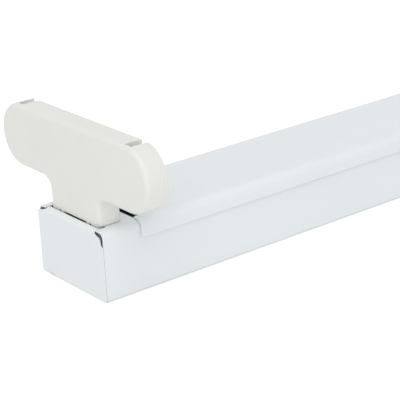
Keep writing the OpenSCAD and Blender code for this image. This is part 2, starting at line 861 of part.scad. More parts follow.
// From the middle pole straight to the earth tag
earth_route = [[block_x + wire_step, 0, pole_z], [block_x + 3 * wire_step, 0, pole_z],
    [block_x + 4.5 * wire_step, 0, pole_z - 0.2 * wire_step],
    [block_x + 5.75 * wire_step, 0, earth_z + 0.4 * wire_step],
    [block_x + 6.75 * wire_step, 0, earth_z],
    [block_x + earth_x - tag_reach - 1, 0, earth_z]];

function to_near(points) = [for (p = points) [p[0] - half_l, p[1], p[2]]];
function to_far(points) = [for (p = points) [half_l - p[0], -p[1], p[2]]];

module live_lead() {
    color([0.45, 0.27, 0.16]) lead(concat(live_start, to_near(stem_route)), 4);
}

module neutral_lead() {
    color([0.15, 0.33, 0.65]) lead(concat(neutral_start, to_far(stem_route)), 4);
}

module earth_lead() {
    color([0.45, 0.65, 0.15]) lead(earth_route, 4);
}

module wire_clips() {
    color(natural_plastic) for (spot = clip_spots) {
        difference() {
            translate([spot[0] - clip_l / 2, spot[1] * run_y - clip_w / 2, sheet_t])
                cube([clip_l, clip_w, clip_h]);
            rod_x(spot[0] - clip_l, spot[0] + clip_l, spot[1] * run_y, floor_z, lead_r + clip_gap);
        }
    }
}

base_channel();
gear_cover();
cover_bracket();
cover_screw();
screw_retainer();
near_holder_shell();
near_holder_face();
near_left_rotor();
near_right_rotor();
near_contacts();
far_holder_shell();
far_holder_face();
far_left_rotor();
far_right_rotor();
far_contacts();
terminal_block();
terminal_barrels();
terminal_screws();
earth_stud();
earth_washer();
earth_tag();
earth_nut();
cable_bush();
live_lead();
neutral_lead();
earth_lead();
wire_clips();
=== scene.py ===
import json
import math
import bmesh
import bpy
import numpy as np
from mathutils import Matrix, Vector


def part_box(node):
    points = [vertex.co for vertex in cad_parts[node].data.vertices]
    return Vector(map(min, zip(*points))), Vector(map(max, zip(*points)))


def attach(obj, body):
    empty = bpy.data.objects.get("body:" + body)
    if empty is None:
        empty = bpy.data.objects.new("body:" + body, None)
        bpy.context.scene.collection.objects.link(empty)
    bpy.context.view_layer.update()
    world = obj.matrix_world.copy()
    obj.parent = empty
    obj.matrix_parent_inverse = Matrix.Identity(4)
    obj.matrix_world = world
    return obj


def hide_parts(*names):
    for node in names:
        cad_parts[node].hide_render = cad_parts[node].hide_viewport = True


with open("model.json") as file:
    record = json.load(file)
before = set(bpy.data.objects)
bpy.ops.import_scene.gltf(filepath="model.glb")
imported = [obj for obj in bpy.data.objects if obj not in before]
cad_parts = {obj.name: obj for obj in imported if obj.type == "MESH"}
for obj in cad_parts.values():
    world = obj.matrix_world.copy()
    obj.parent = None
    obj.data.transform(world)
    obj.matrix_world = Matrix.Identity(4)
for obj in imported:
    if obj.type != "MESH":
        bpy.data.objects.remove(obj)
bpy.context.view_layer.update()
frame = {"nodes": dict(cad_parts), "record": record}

# Base channel
# The folded spine of the batten: one blank of 0.8 mm sheet steel, punched, bent up into a back panel,
# two side walls and an end plate at each end, then powder coated white after folding.
MM = 0.001
SHEET = 0.8
low, high = (np.array(corner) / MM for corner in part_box("base_channel"))
HALF_L, HALF_W, TOP = high[0], high[1], high[2]
BACK_BEND, TOP_BEND, PLATE_BEND = 1.6, 3.2, 2.2
BEND_Y, WALL_TOP = HALF_W - TOP_BEND, TOP - TOP_BEND
WALL_FRONT, TAB_END, PLATE_FLANGE = 0.92, 22.8, 3.0
PLATE_HALF = HALF_W - 0.05
NECK_BACK, NECK_HALF = 15.8, 18.9
SLIT_BACK, SLIT_Y = 7.0, 21.2
DRAIN_TOP, DRAIN_Y = 1.1, (18, 19.4)
FIXING_X, FIXING_REACH, SLOT_STRAIGHT, SLOT_R = 200.0, 9, 3.5, 2.5
ENTRY_X, ENTRY_REACH, ENTRY_R = 60.0, 12, 10.0
BLOCK_X, LANCE_X, LANCE_R, LANCE_HALF, LANCE_TOP = 110.0, 10.5, 1.2, 3.0, 4.9
WINDOW_END = 17.7
WALL_DIP = 0.08
COARSE, FINE = 7, 3
body_of = {name: body for body, names in frame["record"]["behaviour"]["bodies"].items() for name in names}


def arc(centre, radius, start, end, steps):
    """Points of an arc: centre + radius * (cos a, sin a), a going evenly from start to end in degrees."""
    a = np.radians(np.linspace(start, end, steps + 1))
    return np.stack([centre[0] + radius * np.cos(a), centre[1] + radius * np.sin(a)], axis=1)


def lines(*stops):
    """Grid lines: each pair (stop, pitch) fills the way from the last stop in equal steps of about pitch."""
    out = [stops[0]]
    for stop, pitch in stops[1:]:
        count = max(1, int(round(abs(stop - out[-1]) / pitch)))
        out.extend(np.linspace(out[-1], stop, count + 1)[1:])
    return np.array(out)


def quads(rows, cols, keep=None):
    """The cells of a grid of points as quads: a, a + 1, a + cols + 1, a + cols, where keep is true."""
    a = np.arange(rows * cols).reshape(rows, cols)[:-1, :-1]
    cell = np.stack([a, a + 1, a + cols + 1, a + cols], axis=-1)
    return cell.reshape(-1, 4) if keep is None else cell[keep]


def joined(*patches):
    """One set of points and faces from several patches, with the points that coincide made one."""
    points = np.concatenate([p for p, f in patches])
    starts = np.cumsum([0] + [len(p) for p, f in patches])
    faces = np.concatenate([f + s for (p, f), s in zip(patches, starts)])
    _, first, where = np.unique(np.round(points, 3), axis=0, return_index=True, return_inverse=True)
    faces = where.reshape(-1)[faces]
    used, faces = np.unique(faces, return_inverse=True)
    return points[first][used], faces.reshape(-1, 4)


def turned(patch):
    """The same patch at the other end of the batten: half a turn about Z, (x, y, z) to (-x, -y, z)."""
    points, faces = patch
    return points * [-1, -1, 1], faces


def mirrored(patch):
    """The same patch on the other side, y to -y, with its faces turned over so that they point outwards."""
    points, faces = patch
    return points * [1, -1, 1], faces[:, ::-1]


def stand_in(mesh, material, cad_node):
    """A smooth-shaded object of the mesh in place of a CAD node, riding on that node's body."""
    mesh.shade_smooth()
    mesh.materials.append(material)
    piece = bpy.data.objects.new(mesh.name, mesh)
    bpy.context.collection.objects.link(piece)
    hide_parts(cad_node)
    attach(piece, body_of[cad_node])
    return piece


def surface(name, points, faces):
    """A mesh from points in millimetres and quads of their indices."""
    mesh = bpy.data.meshes.new(name)
    mesh.from_pydata(np.asarray(points) * MM, [], np.asarray(faces).tolist())
    return mesh


def sheet_metal(piece, thickness, edge):
    """Gives a folded surface its thickness inwards and rounds the cut edges."""
    wall = piece.modifiers.new("thickness", "SOLIDIFY")
    wall.thickness = thickness * MM
    wall.offset = -1
    wall.use_even_offset = True
    rounding(piece, edge, 2)


def rounding(piece, width, segments, angle=35):
    """Rounds every edge sharper than the angle, keeping the flats flat."""
    bevel = piece.modifiers.new("rounded edges", "BEVEL")
    bevel.width = width * MM
    bevel.segments = segments
    bevel.limit_method = "ANGLE"
    bevel.angle_limit = math.radians(angle)
    bevel.use_clamp_overlap = False
    bevel.harden_normals = True


def group(name, inputs, outputs):
    """An empty node group with these sockets, and its input and output nodes."""
    tree = bpy.data.node_groups.new(name, "ShaderNodeTree")
    for label, kind, value in inputs:
        tree.interface.new_socket(label, in_out="INPUT", socket_type=kind).default_value = value
    for label, kind in outputs:
        tree.interface.new_socket(label, in_out="OUTPUT", socket_type=kind)
    return tree, tree.nodes.new("NodeGroupInput"), tree.nodes.new("NodeGroupOutput")


def node(tree, kind, **values):
    """A new node with its settings, and its sockets' values by name, or by number as _0, _1 and so on."""
    made = tree.nodes.new(kind)
    for key, value in values.items():
        if key[0] == "_":
            made.inputs[int(key[1:])].default_value = value
        elif key in made.bl_rna.properties:
            setattr(made, key, value)
        else:
            made.inputs[key].default_value = value
    return made


# Soft clouds of tone: noise of a given scale on the piece's own coordinates, in two sizes.
clouds, given, result = group("clouds",
                              [("Vector", "NodeSocketVector", (0, 0, 0)), ("Scale", "NodeSocketFloat", 60)],
                              [("Value", "NodeSocketFloat")])
wide = node(clouds, "ShaderNodeTexNoise", Detail=3, Roughness=0.55)
fine = node(clouds, "ShaderNodeTexNoise", Detail=2, Roughness=0.5)
times = node(clouds, "ShaderNodeMath", operation="MULTIPLY", _1=4.3)
both = node(clouds, "ShaderNodeMix", Factor=0.35)
clouds.links.new(given.outputs["Scale"], wide.inputs["Scale"])
clouds.links.new(given.outputs["Scale"], times.inputs[0])
clouds.links.new(times.outputs[0], fine.inputs["Scale"])
for noise in (wide, fine):
    clouds.links.new(given.outputs["Vector"], noise.inputs["Vector"])
clouds.links.new(wide.outputs[0], both.inputs[2])
clouds.links.new(fine.outputs[0], both.inputs[3])
clouds.links.new(both.outputs[0], result.inputs[0])

# Wear along edges, with a painted highlight: how far the rounded normal leans away from the true one, broken
# up by noise, which the finishes use to lighten their edges.
wear_and_highlight, given, result = group("edge wear",
                            [("Vector", "NodeSocketVector", (0, 0, 0)),
                             ("Radius", "NodeSocketFloat", 0.0004)],
                            [("Mask", "NodeSocketFloat")])
soft = node(wear_and_highlight, "ShaderNodeBevel", samples=4)
true = node(wear_and_highlight, "ShaderNodeNewGeometry")
lean = node(wear_and_highlight, "ShaderNodeVectorMath", operation="DOT_PRODUCT")
edge = node(wear_and_highlight, "ShaderNodeMapRange", **{"From Min": 0.97, "From Max": 0.80})
patchy = node(wear_and_highlight, "ShaderNodeTexNoise", Scale=900, Detail=3)
often = node(wear_and_highlight, "ShaderNodeMapRange", **{"From Min": 0.42, "From Max": 0.62, "To Min": 0.25})
mask = node(wear_and_highlight, "ShaderNodeMath", operation="MULTIPLY")
wear_and_highlight.links.new(given.outputs["Radius"], soft.inputs["Radius"])
wear_and_highlight.links.new(given.outputs["Vector"], patchy.inputs["Vector"])
wear_and_highlight.links.new(soft.outputs[0], lean.inputs[0])
wear_and_highlight.links.new(true.outputs["Normal"], lean.inputs[1])
wear_and_highlight.links.new(lean.outputs["Value"], edge.inputs["Value"])
wear_and_highlight.links.new(patchy.outputs[0], often.inputs["Value"])
wear_and_highlight.links.new(edge.outputs[0], mask.inputs[0])
wear_and_highlight.links.new(often.outputs[0], mask.inputs[1])
wear_and_highlight.links.new(mask.outputs[0], result.inputs[0])

# Surface relief: a coarse and a fine noise added up as a height, for orange peel, grain and drawing marks.
relief, given, result = group("relief",
                              [("Vector", "NodeSocketVector", (0, 0, 0)), ("Scale", "NodeSocketFloat", 600),
                               ("Fine Share", "NodeSocketFloat", 0.3)], [("Height", "NodeSocketFloat")])
peel = node(relief, "ShaderNodeTexNoise", Detail=1, Roughness=0.4)
grain = node(relief, "ShaderNodeTexNoise", Detail=2, Roughness=0.6)
finer = node(relief, "ShaderNodeMath", operation="MULTIPLY", _1=5.7)
blend = node(relief, "ShaderNodeMix")
relief.links.new(given.outputs["Scale"], peel.inputs["Scale"])
relief.links.new(given.outputs["Scale"], finer.inputs[0])
relief.links.new(finer.outputs[0], grain.inputs["Scale"])
for noise in (peel, grain):
    relief.links.new(given.outputs["Vector"], noise.inputs["Vector"])
relief.links.new(given.outputs["Fine Share"], blend.inputs["Factor"])
relief.links.new(peel.outputs[0], blend.inputs[2])
relief.links.new(grain.outputs[0], blend.inputs[3])
relief.links.new(blend.outputs[0], result.inputs[0])


def finish(name, tone, shade, worn_and_highlit, wear_and_highlight_share=0.5, wear_and_highlight_radius=0.0004, cloud_scale=60, cloud_share=0.5,
           rough=(0.4, 0.5), relief_scale=600, relief_depth=0.00001, fine_share=0.3, stretch=(1, 1, 1),
           **shader):
    """A finish: tone varied towards shade by the clouds, towards a lighter colour along edges (wear and a
    painted highlight), uneven gloss, relief.
    """
    material = bpy.data.materials.new(name)
    material.use_nodes = True
    tree = material.node_tree
    surface = tree.nodes["Principled BSDF"]
    for key, value in shader.items():
        surface.inputs[key.replace("_", " ")].default_value = value
    place = node(tree, "ShaderNodeTexCoord")
    drawn = node(tree, "ShaderNodeMapping", Scale=stretch)
    tree.links.new(place.outputs["Object"], drawn.inputs["Vector"])
    made = {}
    for label, tool, values in (("clouds", clouds, {"Scale": cloud_scale}),
                                ("wear_and_highlight", wear_and_highlight, {"Radius": wear_and_highlight_radius}),
                                ("relief", relief, {"Scale": relief_scale, "Fine Share": fine_share})):
        made[label] = node(tree, "ShaderNodeGroup", node_tree=tool)
        for key, value in values.items():
            made[label].inputs[key].default_value = value
        tree.links.new(drawn.outputs[0], made[label].inputs["Vector"])
    amount = node(tree, "ShaderNodeMapRange", **{"From Min": 0.35, "From Max": 0.65, "To Max": cloud_share})
    colour = node(tree, "ShaderNodeMix", data_type="RGBA", _6=(*tone, 1), _7=(*shade, 1))
    # Edges turn towards the lighter edge colour: partly wear, partly a painted highlight on the rounded
    # edges.
    edge_lightening = node(tree, "ShaderNodeMath", operation="MULTIPLY", _1=wear_and_highlight_share)
    edged = node(tree, "ShaderNodeMix", data_type="RGBA", _7=(*worn_and_highlit, 1))
    gloss = node(tree, "ShaderNodeMapRange",
                 **{"From Min": 0.3, "From Max": 0.7, "To Min": rough[0], "To Max": rough[1]})
    bump = node(tree, "ShaderNodeBump", Strength=1.0, Distance=relief_depth)
    tree.links.new(made["clouds"].outputs[0], amount.inputs["Value"])
    tree.links.new(amount.outputs[0], colour.inputs["Factor"])
    tree.links.new(made["wear_and_highlight"].outputs[0], edge_lightening.inputs[0])
    tree.links.new(edge_lightening.outputs[0], edged.inputs["Factor"])
    tree.links.new(colour.outputs[2], edged.inputs[6])
    tree.links.new(edged.outputs[2], surface.inputs["Base Color"])
    tree.links.new(made["clouds"].outputs[0], gloss.inputs["Value"])
    tree.links.new(gloss.outputs[0], surface.inputs["Roughness"])
    tree.links.new(made["relief"].outputs[0], bump.inputs["Height"])
    tree.links.new(bump.outputs[0], surface.inputs["Normal"])
    return material


# Its lighter edge colour is mostly a painted highlight along the bends and cut edges, with a little wear.
white_paint = finish("white powder coat", (0.755, 0.787, 0.806), (0.735, 0.770, 0.795), (0.80, 0.82, 0.83),
                     wear_and_highlight_share=0.5, cloud_scale=14, cloud_share=0.8, rough=(0.36, 0.46),
                     relief_scale=900, relief_depth=0.000012, fine_share=0.2)

# Grid lines of the sheet along the batten, with the columns of each end, and across it.
END_X = np.array([BACK_BEND, 3.3, 5.1, SLIT_BACK, 9.2, 11.4, 13.6, NECK_BACK, 17.8, 19.8, 21.3, TAB_END])
mid_x = lines(TAB_END - HALF_L,
              (-FIXING_X - FIXING_REACH, COARSE), (FIXING_REACH - FIXING_X, FINE),
              (ENTRY_X - ENTRY_REACH, COARSE), (ENTRY_X + ENTRY_REACH, FINE),
              (BLOCK_X - WINDOW_END, COARSE), (BLOCK_X - LANCE_X, 4),
              (BLOCK_X + LANCE_X, COARSE), (BLOCK_X + WINDOW_END, 4),
              (FIXING_X - FIXING_REACH, COARSE), (FIXING_X + FIXING_REACH, FINE),
              (HALF_L - TAB_END, COARSE))
near_x = END_X - HALF_L
all_x = np.concatenate([near_x, mid_x[1:-1], -near_x[::-1]])
side_y = np.array([25.4, 22.7, 20, 19.4, 18, 15, 12, 9, 6, 3])
back_y = np.concatenate([side_y, [0], -side_y[::-1]])


def carried(section, stations):
    """A profile carried straight along X: every (y, z) of the section at every x of the stations."""
    x, row = np.meshgrid(stations, np.arange(len(section)))
    return np.stack([x, section[row, 0], section[row, 1]], axis=-1).reshape(-1, 3)


def cells(rows, cols):
    """The middle of each cell of a grid, as two arrays: row value, column value."""
    return np.meshgrid((rows[:-1] + rows[1:]) / 2, (cols[:-1] + cols[1:]) / 2, indexing="ij")


def ring(outline, hole, rings=3):
    """The sheet between a rectangle's outline and a hole: straight blends of the two, closed rings."""
    share = np.linspace(0, 1, rings + 1)[:, None, None]
    points = (1 - share) * outline + share * hole
    points = np.concatenate([points, points[:, :1]], axis=1)
    return points.reshape(-1, 3), quads(rings + 1, len(outline) + 1)


def rectangle(x, y, z):
    """The grid points round the edge of the lines x and y, once round with the normal of (x, then y)."""
    flat = [(v, y[0]) for v in x[:-1]] + [(x[-1], v) for v in y[:-1]]
    flat += [(v, y[-1]) for v in x[:0:-1]] + [(x[0], v) for v in y[:0:-1]]
    return np.array([(a, b, z) for a, b in flat])


def slot_outline(outline, centre_x, straight, radius):
    """Each outline point moved to a slot: the radius out from a line of half-length straight along X."""
    spine = np.clip(outline[:, 0] - centre_x, -straight, straight)
    away = outline[:, :2] - np.stack([centre_x + spine, 0 * spine], axis=1)
    away *= radius / np.linalg.norm(away, axis=1, keepdims=True)
    return np.stack([centre_x + spine + away[:, 0], away[:, 1], outline[:, 2]], axis=1)


def punched(xs, ys, x0, x1, half, centre_x, straight, radius, z):
    """The patch round one hole, on the sheet's own grid lines. ys fall, so its normal is down."""
    x = xs[(xs > x0 - 0.01) & (xs < x1 + 0.01)]
    y = ys[np.abs(ys) < half + 0.01]
    outline = rectangle(x, y, z)
    return ring(outline, slot_outline(outline, centre_x, straight, radius))


# Back panel, flat on the ceiling: fixing slots, cable hole and the two windows of the lanced tabs.
y_mid, x_mid = cells(back_y, all_x)
holes = [(-FIXING_X, FIXING_REACH, 6, SLOT_STRAIGHT, SLOT_R),
         (FIXING_X, FIXING_REACH, 6, SLOT_STRAIGHT, SLOT_R),
         (ENTRY_X, ENTRY_REACH, ENTRY_REACH, 0.0, ENTRY_R)]
whole = np.ones(y_mid.shape, bool)
for x, reach, half, straight, radius in holes:
    whole &= ~((np.abs(x_mid - x) < reach) & (np.abs(y_mid) < half))
for side in (-1, 1):
    past = side * (x_mid - BLOCK_X)
    whole &= ~((past > LANCE_X) & (past < WINDOW_END) & (np.abs(y_mid) < LANCE_HALF))
panel = np.stack([back_y, 0 * back_y], axis=1)
patches = [(carried(panel, all_x), quads(len(back_y), len(all_x), whole))]
for x, reach, half, straight, radius in holes:
    patches.append(punched(all_x, back_y, x - reach, x + reach, half, x, straight, radius, 0.0))

# Tabs lanced out of the panel and hooked over the terminal block.
lance = np.concatenate([arc((LANCE_X, LANCE_R), LANCE_R, -90, 0, 6),
                        arc((LANCE_X, LANCE_TOP - LANCE_R), LANCE_R, 0, 90, 6),
                        [[LANCE_X - 0.6, LANCE_TOP]]])
tab_y = np.array([-LANCE_HALF, 0.0, LANCE_HALF])
for side in (-1, 1):
    y, row = np.meshgrid(tab_y * side, np.arange(len(lance)))
    tab = np.stack([BLOCK_X + side * lance[row, 0], y, lance[row, 1]], axis=-1).reshape(-1, 3)
    patches.append((tab, quads(len(lance), 3)))

# Side walls from end to end and, at each end, the top tab bent over from them, open round the lampholder.
wall = np.concatenate([np.stack([np.full(9, HALF_W), np.linspace(WALL_TOP, BACK_BEND, 9)], axis=1),
                       arc((HALF_W - BACK_BEND, BACK_BEND), BACK_BEND, 0, -90, 6)[1:]])
tab_lines = np.array([0.15, 6.4, 12.7, NECK_HALF, 20.0, SLIT_Y, 22.4])
end_wall = np.concatenate([np.stack([tab_lines, 0 * tab_lines + TOP], axis=1),
                           arc((BEND_Y, WALL_TOP), TOP_BEND, 90, 0, 8)])
row_y, col_x = cells(end_wall[:, 0], END_X)
row_z, _ = cells(end_wall[:, 1], END_X)
flat = row_z > TOP - 0.01
opened = flat & (((row_y < SLIT_Y) & (col_x < SLIT_BACK)) | ((row_y < NECK_HALF) & (col_x < NECK_BACK)))
near_end = (carried(end_wall, near_x), quads(len(end_wall), len(near_x), ~opened))
halves = [(carried(wall, all_x), quads(len(wall), len(all_x))), near_end, turned(mirrored(near_end))]
patches += halves + [mirrored(half) for half in halves]
for points, faces in patches:
    front = np.isclose(np.abs(points[:, 0]), HALF_L - BACK_BEND) & (points[:, 2] > 0.01)
    lean = np.clip(points[front, 2] / BACK_BEND, 0, 1)
    points[front, 0] += np.sign(points[front, 0]) * (BACK_BEND - WALL_FRONT) * lean

# End plate, folded up from the panel and over the top, with a relief in each top corner, one deeper.
rise = np.array([6, 12, 18, 23, 27.4, 28.1, 28.9, 29.9, 30.7, 31.35, 31.8, 32.2, 32.5])
bent_over = arc((PLATE_BEND, TOP - PLATE_BEND), PLATE_BEND, 180, 90, 8)
plate = np.concatenate([arc((BACK_BEND, BACK_BEND), BACK_BEND, 270, 180, 6),
                        np.stack([0 * rise, rise], axis=1), bent_over, [[PLATE_FLANGE, TOP]]])
z = plate[:, 1]
below = np.clip(BACK_BEND - z, 0, None)
round_corner = HALF_W - BACK_BEND + np.sqrt(np.clip(BACK_BEND ** 2 - below ** 2, 0, None))
deep = np.interp(TOP - z, [0, 1.2, 1.8, 2.3, 2.8, 3.65, 5.1, 6.6, 7.3],
                 [20.6, 20.4, 21.2, 22.5, 24.1, 24.9, 25.2, 25.5, PLATE_HALF])
shallow = np.interp(TOP - z, [0, 0.45, 1.1, 1.65, 2.1, 2.8], [20.1, 20.2, 21.4, 22.9, 24.6, PLATE_HALF])
y, row = np.meshgrid(back_y, np.arange(len(plate)))
edge_y = np.minimum(round_corner, np.minimum(PLATE_HALF, np.where(y < 0, deep[row], shallow[row])).T).T
inner = DRAIN_Y[0]
spread = inner + (np.abs(y) - inner) * (edge_y - inner) / (side_y[0] - inner)
y = np.where(np.abs(y) > inner, np.sign(y) * spread, y)
flap = np.stack([plate[row, 0] - HALF_L, y, plate[row, 1]], axis=-1).reshape(-1, 3)
row_z, col_y = cells(z, back_y)
drain = (row_z < DRAIN_TOP) & (col_y > DRAIN_Y[0]) & (col_y < DRAIN_Y[1])
flap = (flap, quads(len(plate), len(back_y), ~drain))
patches += [flap, turned(flap)]
points, faces = joined(*patches)

# The rolled sheet is never quite flat: the walls and end plates lie a little further in, in long waves.
belly = np.sin(np.pi * np.clip((points[:, 2] - 2) / (WALL_TOP - 3), 0, 1))
wave = 0.5 + 0.3 * np.sin(points[:, 0] / 31 + 1.3) + 0.2 * np.sin(points[:, 0] / 13 + 0.4)
on_wall = np.abs(points[:, 1]) > HALF_W - 0.01
on_plate = np.abs(points[:, 0]) > HALF_L - 0.01
points[on_wall, 1] -= np.sign(points[on_wall, 1]) * WALL_DIP * (belly * wave)[on_wall]
bow = belly * np.cos(points[:, 1] / 18)
points[on_plate, 0] -= np.sign(points[on_plate, 0]) * WALL_DIP * bow[on_plate]
channel = stand_in(surface("channel", points, faces), white_paint, "base_channel")
sheet_metal(channel, SHEET, 0.2)

# Cable bush
# A nylon bush with a flange, snapped into the hole of the back panel where the supply comes in.
def finished(name, cad_node, material, edge=0.15, weld=0.002):
    """A copy of a CAD node with its facets merged into whole flats and every sharp edge rounded."""
    work = bmesh.new()
    work.from_mesh(frame["nodes"][cad_node].data)
    bmesh.ops.remove_doubles(work, verts=work.verts, dist=weld * MM)
    bmesh.ops.dissolve_limit(work, angle_limit=math.radians(0.5), verts=work.verts, edges=work.edges)
    mesh = bpy.data.meshes.new(name)
    work.to_mesh(mesh)
    work.free()
    for label in ("custom_normal", "sharp_edge", "material_index"):
        if label in mesh.attributes:
            mesh.attributes.remove(mesh.attributes[label])
    piece = stand_in(mesh, material, cad_node)
    rounding(piece, edge, 2)
    return piece


nylon = finish("natural nylon", (0.74, 0.72, 0.64), (0.68, 0.66, 0.58), (0.80, 0.78, 0.72),
               cloud_scale=110, rough=(0.42, 0.55), relief_scale=1800, relief_depth=0.000008)
finished("bush", "cable_bush", nylon, 0.3)

# Earth point
# A zinc-plated stud riveted through the back panel, with a washer, a crimped brass tag and a nut on it.
zinc = finish("zinc plate", (0.60, 0.62, 0.64), (0.52, 0.54, 0.57), (0.72, 0.73, 0.74), cloud_scale=160,
              rough=(0.26, 0.42), relief_scale=1500, relief_depth=0.000006, Metallic=1.0)
brass = finish("rolled brass", (0.72, 0.52, 0.24), (0.60, 0.41, 0.18), (0.85, 0.68, 0.38), cloud_scale=120,
               rough=(0.18, 0.34), relief_scale=900, relief_depth=0.000006, stretch=(1, 1, 0.15),
               Metallic=1.0)
finished("stud", "earth_stud", zinc)
finished("washer", "earth_washer", zinc, 0.1)
finished("tag", "earth_tag", brass, 0.1)
finished("nut", "earth_nut", zinc, 0.25)

# Terminal block
# A three-pole nylon block held by the two lanced tabs, with turned brass barrels and slotted screws.
screw_steel = finish("bright screw steel", (0.66, 0.66, 0.67), (0.56, 0.57, 0.58), (0.76, 0.76, 0.76),
                     cloud_scale=220, rough=(0.22, 0.36), relief_scale=2600, relief_depth=0.000005,
                     Metallic=1.0)
finished("block", "terminal_block", nylon, 0.3)
finished("barrels", "terminal_barrels", brass, 0.1)
finished("clamping_screws", "terminal_screws", screw_steel, 0.1)

# Wire clips
# Small nylon saddles stuck to the floor of the channel, which hold the leads down.
finished("clips", "wire_clips", nylon, 0.3)

# Leads
# Three sleeved wires: brown and blue from the block up into the lampholders' stems, green over to the tag.
for name, colour in (("live", (0.16, 0.065, 0.03)), ("neutral", (0.03, 0.11, 0.36)),
                     ("earth", (0.14, 0.32, 0.04))):
    sleeve = finish(name + " sleeve", colour, tuple(0.8 * v for v in colour), tuple(1.3 * v for v in colour),
                    cloud_scale=200, rough=(0.35, 0.5), relief_scale=1500, relief_depth=0.000008)
    finished(name + "_wire", name + "_lead", sleeve, 0.25)

# Lampholder shells
# The front half of each T-shaped holder: a warm white moulding with soft front edges, a foot snapped into
# the channel and a slot in the top of each lobe for the pins.
holder_plastic = finish("warm white moulding", (0.745, 0.752, 0.712), (0.730, 0.735, 0.690),
                        (0.80, 0.80, 0.77), cloud_scale=40, cloud_share=0.8, rough=(0.38, 0.48),
                        relief_scale=2400, relief_depth=0.000006, fine_share=0.4)
for end in ("near", "far"):
    finished(end + "_shell", end + "_holder_shell", holder_plastic, 0.12, 0.04)

# Lampholder faces
# The plate that closes each shell on the tube's side, with a round window for each socket.
for end in ("near", "far"):
    finished(end + "_face", end + "_holder_face", holder_plastic, 0.12)

# Sockets
# The rotors in those windows: a flanged drum with a slot across it that a tube's pins enter and turn.
rotor_plastic = finish("white moulding", (0.82, 0.82, 0.79), (0.79, 0.79, 0.76), (0.86, 0.86, 0.84),
                       cloud_scale=90, rough=(0.30, 0.40), relief_scale=2400, relief_depth=0.000005)
for place in ("near_left", "near_right", "far_left", "far_right"):
    finished(place + "_socket", place + "_rotor", rotor_plastic, 0.2)

# Contacts
# One bent strip of rolled brass behind the sockets of each holder, with a leaf either side of each socket.
for end in ("near", "far"):
    finished(end + "_strip", end + "_contacts", brass, 0.08)

# Cover bracket
# A bridge of 1.2 mm zinc-plated strip, bent down at both ends and out into welded feet, and tapped.
low, high = (np.array(corner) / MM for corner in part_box("cover_bracket"))
STRIP, LEG_X, FOOT_X, TAP_R = 1.2, 12.0, 17.0, 2.06
INNER_BEND, OUTER_BEND = 1.0, 2.2
PATCH = 6
foot_z = SHEET + STRIP
half_strip = np.concatenate([[[-high[0], foot_z], [-FOOT_X, foot_z]],
                             arc((-LEG_X - INNER_BEND, foot_z + INNER_BEND), INNER_BEND, -90, 0, 6),
                             [[-LEG_X, 10], [-LEG_X, 18], [-LEG_X, 26]],
                             arc((OUTER_BEND - LEG_X, high[2] - OUTER_BEND), OUTER_BEND, 180, 90, 6)])
flat_x = lines(-PATCH, (PATCH, FINE))
flats = np.stack([flat_x, 0 * flat_x + high[2]], axis=1)
section = np.concatenate([half_strip, flats, half_strip[::-1] * [-1, 1]])
across = lines(-high[1], (-PATCH, FINE), (PATCH, FINE), (high[1], FINE))
row_x, col_y = cells(section[:, 0], across)
row_z, _ = cells(section[:, 1], across)
tap = (row_z > high[2] - 0.01) & (np.abs(row_x) < PATCH) & (np.abs(col_y) < PATCH)
strip = (carried(section, across), quads(len(section), len(across), ~tap))
points, faces = joined(strip, punched(across, flat_x, -PATCH, PATCH, PATCH, 0.0, 0.0, TAP_R, high[2]))
bracket = stand_in(surface("bracket", points[:, [1, 0, 2]] * [1, -1, 1], faces), zinc, "cover_bracket")
sheet_metal(bracket, STRIP, 0.15)

# Gear cover
# A lid of the same sheet, folded to lap over the channel's walls from outside between the lampholders.
# Each end is notched behind the lampholder, and one screw in the middle holds it.
low, high = (np.array(corner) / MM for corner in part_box("gear_cover"))
COVER_X, COVER_Y, COVER_TOP = high
COVER_BEND, COVER_NOTCH, NOTCH_HALF, SCREW_HOLE = 4.3, 2.8, 21.9, 2.3
COVER_SHEET, DIP = 1.02, 0.12
bend = (COVER_BEND - COVER_Y, COVER_TOP - COVER_BEND)
cover_x = lines(-COVER_X, (COVER_NOTCH - COVER_X, FINE), (-PATCH, COARSE), (PATCH, FINE),
                (COVER_X - COVER_NOTCH, COARSE), (COVER_X, FINE))
skirt = np.stack([np.full(3, -COVER_Y), np.linspace(low[2], bend[1], 4)[:3]], axis=1)
flat_y = np.array([-NOTCH_HALF, -15, -10.5, -PATCH, -3, 0, 3, PATCH, 10.5, 15, NOTCH_HALF])
half_section = np.concatenate([skirt, arc(bend, COVER_BEND, 180, 90, 10)])
flats = np.stack([flat_y, 0 * flat_y + COVER_TOP], axis=1)
section = np.concatenate([half_section, flats, half_section[::-1] * [-1, 1]])
row_y, col_x = cells(section[:, 0], cover_x)
row_z, _ = cells(section[:, 1], cover_x)
flat = row_z > COVER_TOP - 0.01
cut = flat & (np.abs(row_y) < NOTCH_HALF) & (np.abs(col_x) > COVER_X - COVER_NOTCH)
cut |= flat & (np.abs(row_y) < PATCH) & (np.abs(col_x) < PATCH)
lid = (carried(section, cover_x), quads(len(section), len(cover_x), ~cut))
hole = punched(cover_x, flat_y, -PATCH, PATCH, PATCH, 0.0, 0.0, SCREW_HOLE, COVER_TOP)
points, faces = joined(lid, hole)

# Its flat top dips a little in long waves, which fade out towards the bends and the ends.
inset = np.clip((-bend[0] - np.abs(points[:, 1])) / 8, 0, 1)
inset *= np.clip((COVER_X - np.abs(points[:, 0])) / 20, 0, 1)
wave = 0.5 + 0.3 * np.sin(points[:, 0] / 37) + 0.2 * np.cos(points[:, 1] / 9)
points[:, 2] -= (points[:, 2] > COVER_TOP - 0.01) * DIP * inset * wave
cover = stand_in(surface("cover", points, faces), white_paint, "gear_cover")
sheet_metal(cover, COVER_SHEET, 0.25)

